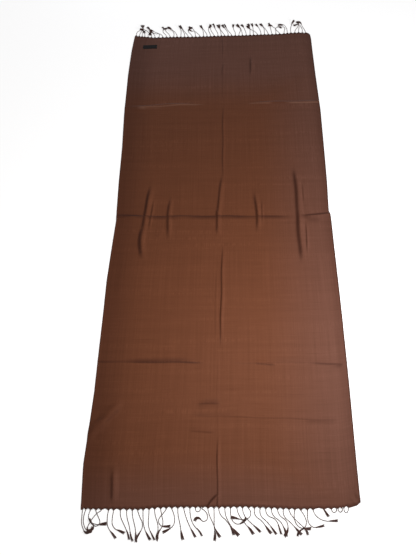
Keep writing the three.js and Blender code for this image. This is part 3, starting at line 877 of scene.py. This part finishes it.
# %% Sew the label on
STITCH, PITCH, INSET, THREAD_RADIUS = 1.9, 2.9, 1.3, 0.14
stitch = bar(5, THREAD_RADIUS, -STITCH / 2, STITCH / 2, cuts=5)
arch = read_points(stitch.data) / MM
sewn = []
half_x, half_y = LABEL_WIDTH / 2 - INSET, LABEL_HEIGHT / 2 - INSET
runs = [((-half_x, s * half_y), (half_x, s * half_y)) for s in (-1, 1)]
runs += [((s * half_x, -half_y), (s * half_x, half_y)) for s in (-1, 1)]
for (x1, y1), (x2, y2) in runs:
    length = math.hypot(x2 - x1, y2 - y1)
    count = int(length // PITCH)
    ux, uy = (x2 - x1) / length, (y2 - y1) / length
    for k in range(count):
        at = (k + 0.5) * length / count
        x = x1 + ux * (at + arch[:, 0]) - uy * arch[:, 1]
        y = y1 + uy * (at + arch[:, 0]) + ux * arch[:, 1]
        top = ribbon_top(x + LABEL_X, y + LABEL_Y, x, y)
        rise = 0.16 - 0.32 * (2 * arch[:, 0] / STITCH) ** 4
        made = double(stitch)
        points = np.stack([x + LABEL_X, y + LABEL_Y + ribbon_sway(x), top + rise + arch[:, 2]], axis=1)
        write_points(made.data, points * MM)
        sewn.append(made)
bpy.data.objects.remove(stitch)
stitches = join(sewn, "label_stitches")
bpy.ops.object.shade_smooth_by_angle(angle=math.radians(60))
print("stitches:", len(sewn))

# %% [markdown]
# ## A shared weave
# Cloth and ribbon are both woven: yarns cross over and under, some weft yarns are thicker than
# their neighbours (slubs), and the warp shows as faint lines. One node group makes this for both
# from a map in metres. It puts out a height for bump and a tone for colour and gloss.

# %% Start the weave group with its crossing yarns
def new_group(name, *amounts):
    """A group that takes a place and some amounts, and puts out a height and a tone."""
    group = bpy.data.node_groups.new(name, "ShaderNodeTree")
    group.interface.new_socket("Place", in_out="INPUT", socket_type="NodeSocketVector")
    for amount in amounts:
        group.interface.new_socket(amount, in_out="INPUT", socket_type="NodeSocketFloat")
    for result in ("Height", "Tone"):
        group.interface.new_socket(result, in_out="OUTPUT", socket_type="NodeSocketFloat")
    return group, group.nodes.new("NodeGroupInput"), group.nodes.new("NodeGroupOutput")


def sums(tree, operation, a, b):
    """One math node; a and b are numbers or sockets."""
    made = tree.nodes.new("ShaderNodeMath")
    made.operation = operation
    for socket, value in zip(made.inputs, (a, b)):
        give(tree, socket, value)
    return made.outputs[0]


weave, came, goes = new_group("plain_weave", "Yarns per metre", "Slub")
apart = node(weave, "ShaderNodeSeparateXYZ", Vector=came.outputs["Place"])
turns = sums(weave, "MULTIPLY", came.outputs["Yarns per metre"], math.pi)
over = sums(weave, "SINE", sums(weave, "MULTIPLY", apart.outputs[0], turns), 0)
under = sums(weave, "SINE", sums(weave, "MULTIPLY", apart.outputs[1], turns), 0)
crossing = sums(weave, "MULTIPLY", over, under)
print("crossing yarns:", len(weave.nodes), "nodes")

# %% Add the slubs, bands and warp lines
def streaks(tree, place, across, along, detail):
    """Noise drawn out into streaks: its scale per metre in each direction."""
    stretch = node(tree, "ShaderNodeMapping", Vector=place, Scale=(across, along, 1))
    cloudy = node(tree, "ShaderNodeTexNoise", Vector=stretch.outputs[0],
                  Scale=1.0, Detail=detail, Roughness=0.55)
    return cloudy.outputs["Fac"]


weft_slubs = streaks(weave, came.outputs["Place"], 12, 420, 3.0)
weft_bands = streaks(weave, came.outputs["Place"], 2.2, 60, 2.0)
warp_lines = streaks(weave, came.outputs["Place"], 300, 4, 2.0)
slub = sums(weave, "SUBTRACT", weft_slubs, 0.5)
sparse = sums(weave, "MULTIPLY", slub, sums(weave, "ABSOLUTE", slub, 0))
slub = sums(weave, "MULTIPLY", sums(weave, "MULTIPLY", sparse, 6.0), came.outputs["Slub"])
bands = sums(weave, "MULTIPLY", sums(weave, "SUBTRACT", weft_bands, 0.5), came.outputs["Slub"])
lines = sums(weave, "SUBTRACT", warp_lines, 0.5)
flecks = sums(weave, "SUBTRACT", streaks(weave, came.outputs["Place"], 230, 42, 1.0), 0.5)
where = sums(weave, "MAXIMUM", sums(weave, "SUBTRACT", weft_bands, 0.52), 0)
flecks = sums(weave, "MULTIPLY", sums(weave, "MULTIPLY", flecks, where), 9.0)
ribs = sums(weave, "ADD", slub, sums(weave, "MULTIPLY", bands, 0.6))
height = sums(weave, "ADD", sums(weave, "MULTIPLY", crossing, 0.12), ribs)
height = sums(weave, "ADD", height, sums(weave, "MULTIPLY", lines, 0.5))
tone = sums(weave, "ADD", ribs, sums(weave, "MULTIPLY", sums(weave, "ADD", lines, flecks), 0.6))
give_all(weave, goes, Height=height, Tone=sums(weave, "ADD", tone, 0.5))
print("weave group:", len(weave.nodes), "nodes")

# %% [markdown]
# ## The cloth's finish
# The cloth is a warm mid brown with a soft satin sheen. Its colour follows the weave's tone, and
# grows darker in a narrow band along each side, and in the last picks before the fringe, where the
# yarns are packed closer. A painted shade darkens one flank of each fold, and the cloth towards
# both sides, most on the left. A painted sheen makes it a little paler and cooler towards the right
# side and both ends, and a painted highlight lies along the far crease. The folds come from the
# points' attributes and the rest from the UV map of the cut.

# %% Dye the cloth
def new_finish(name):
    """A new material, with its node tree and its surface shader."""
    finish = bpy.data.materials.new(name)
    finish.use_nodes = True
    return finish, finish.node_tree, finish.node_tree.nodes["Principled BSDF"]


def ramp(tree, value, *stops):
    """A colour ramp from (place, colour) stops."""
    made = tree.nodes.new("ShaderNodeValToRGB")
    while len(made.color_ramp.elements) < len(stops):
        made.color_ramp.elements.new(0.5)
    for element, (place, colour) in zip(made.color_ramp.elements, stops):
        element.position = place
        element.color = (*colour, 1)
    give_all(tree, made, Fac=value)
    return made.outputs["Color"]


def sized_map(tree, name, width, length):
    """The named UV map, scaled to metres."""
    place = node(tree, "ShaderNodeUVMap", {"uv_map": name})
    scaled = node(tree, "ShaderNodeMapping", Vector=place.outputs[0], Scale=(width, length, 1))
    return scaled.outputs[0]


silk, tree, face = new_finish("brown_silk")
place = sized_map(tree, "cut", CLOTH_WIDTH * MM, CLOTH_LENGTH * MM)
threads = node(tree, "ShaderNodeGroup", {"node_tree": weave},
               Place=place, Yarns_per_metre=2400, Slub=0.65)
dyed = ramp(
    tree, threads.outputs["Tone"],
    (0.2, (0.134, 0.041, 0.0155)), (0.5, (0.164, 0.051, 0.0205)), (0.8, (0.198, 0.064, 0.027)),
)
print("dyed with", len(tree.nodes), "nodes")

# %% Darker edges, and painted shade, sheen and highlight
# the sockets that a Mix node uses when it mixes colours
MIX_AMOUNT, MIX_BELOW, MIX_ABOVE, MIX_RESULT = 0, 6, 7, 2


def fade(tree, value, start, stop, first, last):
    """Eases from the first amount to the last as the value goes from start to stop."""
    eased = node(tree, "ShaderNodeMapRange", {"interpolation_type": "SMOOTHSTEP"},
                 Value=value, From_Min=start, From_Max=stop, To_Min=first, To_Max=last)
    return eased.outputs[0]


def strongest(tree, first, *others):
    """The highest of several values."""
    for other in others:
        first = sums(tree, "MAXIMUM", first, other)
    return first


def from_edge(tree, way, half):
    """How far in from the nearer edge, in metres, where half is from an edge to the middle."""
    to_middle = sums(tree, "ABSOLUTE", sums(tree, "SUBTRACT", way, half), 0)
    return sums(tree, "SUBTRACT", half, to_middle)


def overlay(tree, amount, below, above, how="MIX"):
    """A plain colour laid over another, by an amount from 0 to 1."""
    mix = node(tree, "ShaderNodeMix", {"data_type": "RGBA", "blend_type": how})
    for place, value in ((MIX_AMOUNT, amount), (MIX_BELOW, below), (MIX_ABOVE, (*above, 1))):
        give(tree, mix.inputs[place], value)
    return mix.outputs[MIX_RESULT]


def mark(tree, name):
    """What a named attribute says at each point of the cloth."""
    return node(tree, "ShaderNodeAttribute", {"attribute_name": name}).outputs["Fac"]


split = node(tree, "ShaderNodeSeparateXYZ", Vector=place)
across, along = split.outputs[0], split.outputs[1]
from_side = from_edge(tree, across, HALF_WIDTH * MM)
from_end = from_edge(tree, along, HALF_LENGTH * MM)
# painted sheen towards the right side, the far end and the near end
painted_sheen = strongest(
    tree,
    fade(tree, across, 0.45, 0.68, 0.0, 0.6),
    fade(tree, along, 1.26, 1.46, 0.0, 0.7),
    fade(tree, along, 0.14, 0.01, 0.0, 0.55),
)
# a narrow band along each side, the last picks, and painted shade: left side, both sides, folds
edges_and_painted_shade = strongest(
    tree,
    fade(tree, from_side, 0.001, 0.006, 0.8, 0.0),
    fade(tree, from_end, 0.003, 0.014, 0.7, 0.0),
    fade(tree, across, 0.0, 0.13, 0.45, 0.0),
    fade(tree, from_side, 0.0, 0.04, 0.3, 0.0),
    mark(tree, "painted_fold_shading"),
)
# painted sheen: the colour made paler and cooler
colour = overlay(tree, painted_sheen, dyed, (1.0, 1.38, 2.5), "MULTIPLY")
# darker edges, with painted shade at the sides and along the folds
colour = overlay(tree, edges_and_painted_shade, colour, (0.062, 0.016, 0.007))
# painted highlight along the far crease
colour = overlay(tree, mark(tree, "painted_highlight"), colour, (0.30, 0.15, 0.10))
give_all(tree, face, Base_Color=colour)
print("shaded with", len(tree.nodes), "nodes")

# %% Gloss and weave of the cloth
def bump(tree, height, distance, strength):
    """The normal that a height gives the surface."""
    raised = node(tree, "ShaderNodeBump", Height=height, Distance=distance, Strength=strength)
    return raised.outputs["Normal"]


rough = node(tree, "ShaderNodeMapRange", Value=threads.outputs["Tone"],
             From_Min=0.2, From_Max=0.8, To_Min=0.74, To_Max=0.62)
give_all(tree, face, Roughness=rough.outputs[0],
         Normal=bump(tree, threads.outputs["Height"], 0.0004, 0.3),
         Sheen_Weight=0.5, Sheen_Roughness=0.3, Sheen_Tint=(0.8, 0.86, 1.0, 1),
         Specular_IOR_Level=0.22)
cloth.data.materials.append(silk)
print("cloth finish:", len(tree.nodes), "nodes")

# %% [markdown]
# ## The yarn's finish
# The tassels are the cloth's own warp, twisted hard, so they look darker than the cloth. The
# brushes are darkest. Fine fibres along the yarn and a slow change from tassel to tassel keep
# them from looking moulded. The ribbon's thread gets the same group with other colours.

# %% Build the fibre group and the yarn finishes
fibre, came, goes = new_group("yarn_fibres", "Fibres per metre")
fine = node(fibre, "ShaderNodeTexNoise", Vector=came.outputs["Place"],
            Scale=came.outputs["Fibres per metre"], Detail=2.0, Roughness=0.6)
slow = node(fibre, "ShaderNodeTexNoise", Vector=came.outputs["Place"], Scale=75.0, Detail=1.0)
mixed = sums(fibre, "ADD", sums(fibre, "MULTIPLY", fine.outputs["Fac"], 0.45),
             sums(fibre, "MULTIPLY", slow.outputs["Fac"], 0.55))
give_all(fibre, goes, Height=fine.outputs["Fac"], Tone=mixed)


def yarn_finish(name, dark, light, roughness, tip=None):
    """A yarn's finish. Where tip is given, the colour moves to it from the knot to the end."""
    finish, tree, face = new_finish(name)
    where = node(tree, "ShaderNodeTexCoord")
    hairs = node(tree, "ShaderNodeGroup", {"node_tree": fibre},
                 Place=where.outputs["Object"], Fibres_per_metre=2600)
    colour = ramp(tree, hairs.outputs["Tone"], (0.3, dark), (0.7, light))
    if tip:
        yarn_map = node(tree, "ShaderNodeUVMap", {"uv_map": "yarn"})
        along = node(tree, "ShaderNodeSeparateXYZ", Vector=yarn_map.outputs[0])
        to_tip = node(tree, "ShaderNodeMapRange", Value=along.outputs[0],
                      From_Min=0.62, From_Max=0.78, To_Min=0, To_Max=0.8)
        colour = overlay(tree, to_tip.outputs[0], colour, tip)
    give_all(tree, face, Base_Color=colour, Roughness=roughness,
             Normal=bump(tree, hairs.outputs["Height"], 0.0002, 0.5),
             Sheen_Weight=0.2, Sheen_Roughness=0.5)
    return finish


yarn = yarn_finish("twisted_yarn", (0.06, 0.028, 0.021), (0.12, 0.058, 0.044), 0.75,
                   tip=(0.085, 0.031, 0.022))
thread = yarn_finish("sewing_thread", (0.012, 0.010, 0.009), (0.03, 0.026, 0.024), 0.55)
for piece in (tassels_near, tassels_far):
    piece.data.materials.clear()
    piece.data.materials.append(yarn)
stitches.data.materials.append(thread)
print("yarn finish:", len(yarn.node_tree.nodes), "nodes, thread:", len(thread.node_tree.nodes), "nodes")

# %% [markdown]
# ## The ribbon's finish
# The label is a black satin ribbon. It uses the same weave group at a finer pitch.

# %% Finish the label
ribbon, tree, face = new_finish("black_ribbon")
place = sized_map(tree, "ribbon", LABEL_WIDTH * MM, LABEL_HEIGHT * MM)
threads = node(tree, "ShaderNodeGroup", {"node_tree": weave},
               Place=place, Yarns_per_metre=4200, Slub=0.5)
black = ramp(tree, threads.outputs["Tone"], (0.3, (0.006, 0.005, 0.005)), (0.7, (0.013, 0.011, 0.010)))
give_all(tree, face, Base_Color=black, Roughness=0.6, Specular_IOR_Level=0.2,
         Normal=bump(tree, threads.outputs["Height"], 0.0003, 0.4))
label.data.materials.append(ribbon)
print("label finish:", len(tree.nodes), "nodes")

# %% [markdown]
# ## Tie every piece to the frame
# The shawl is one body. Each dressed piece rides on it and stands for its solid.

# %% Ride and replace
for piece, solid, slot in (
    (cloth, "cloth_panel", "cloth"),
    (tassels_near, "fringe_near", "fringe_yarn"),
    (tassels_far, "fringe_far", "fringe_yarn"),
    (label, "label", "label_ribbon"),
):
    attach(piece, "root")
    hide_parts(solid)
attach(stitches, "root")
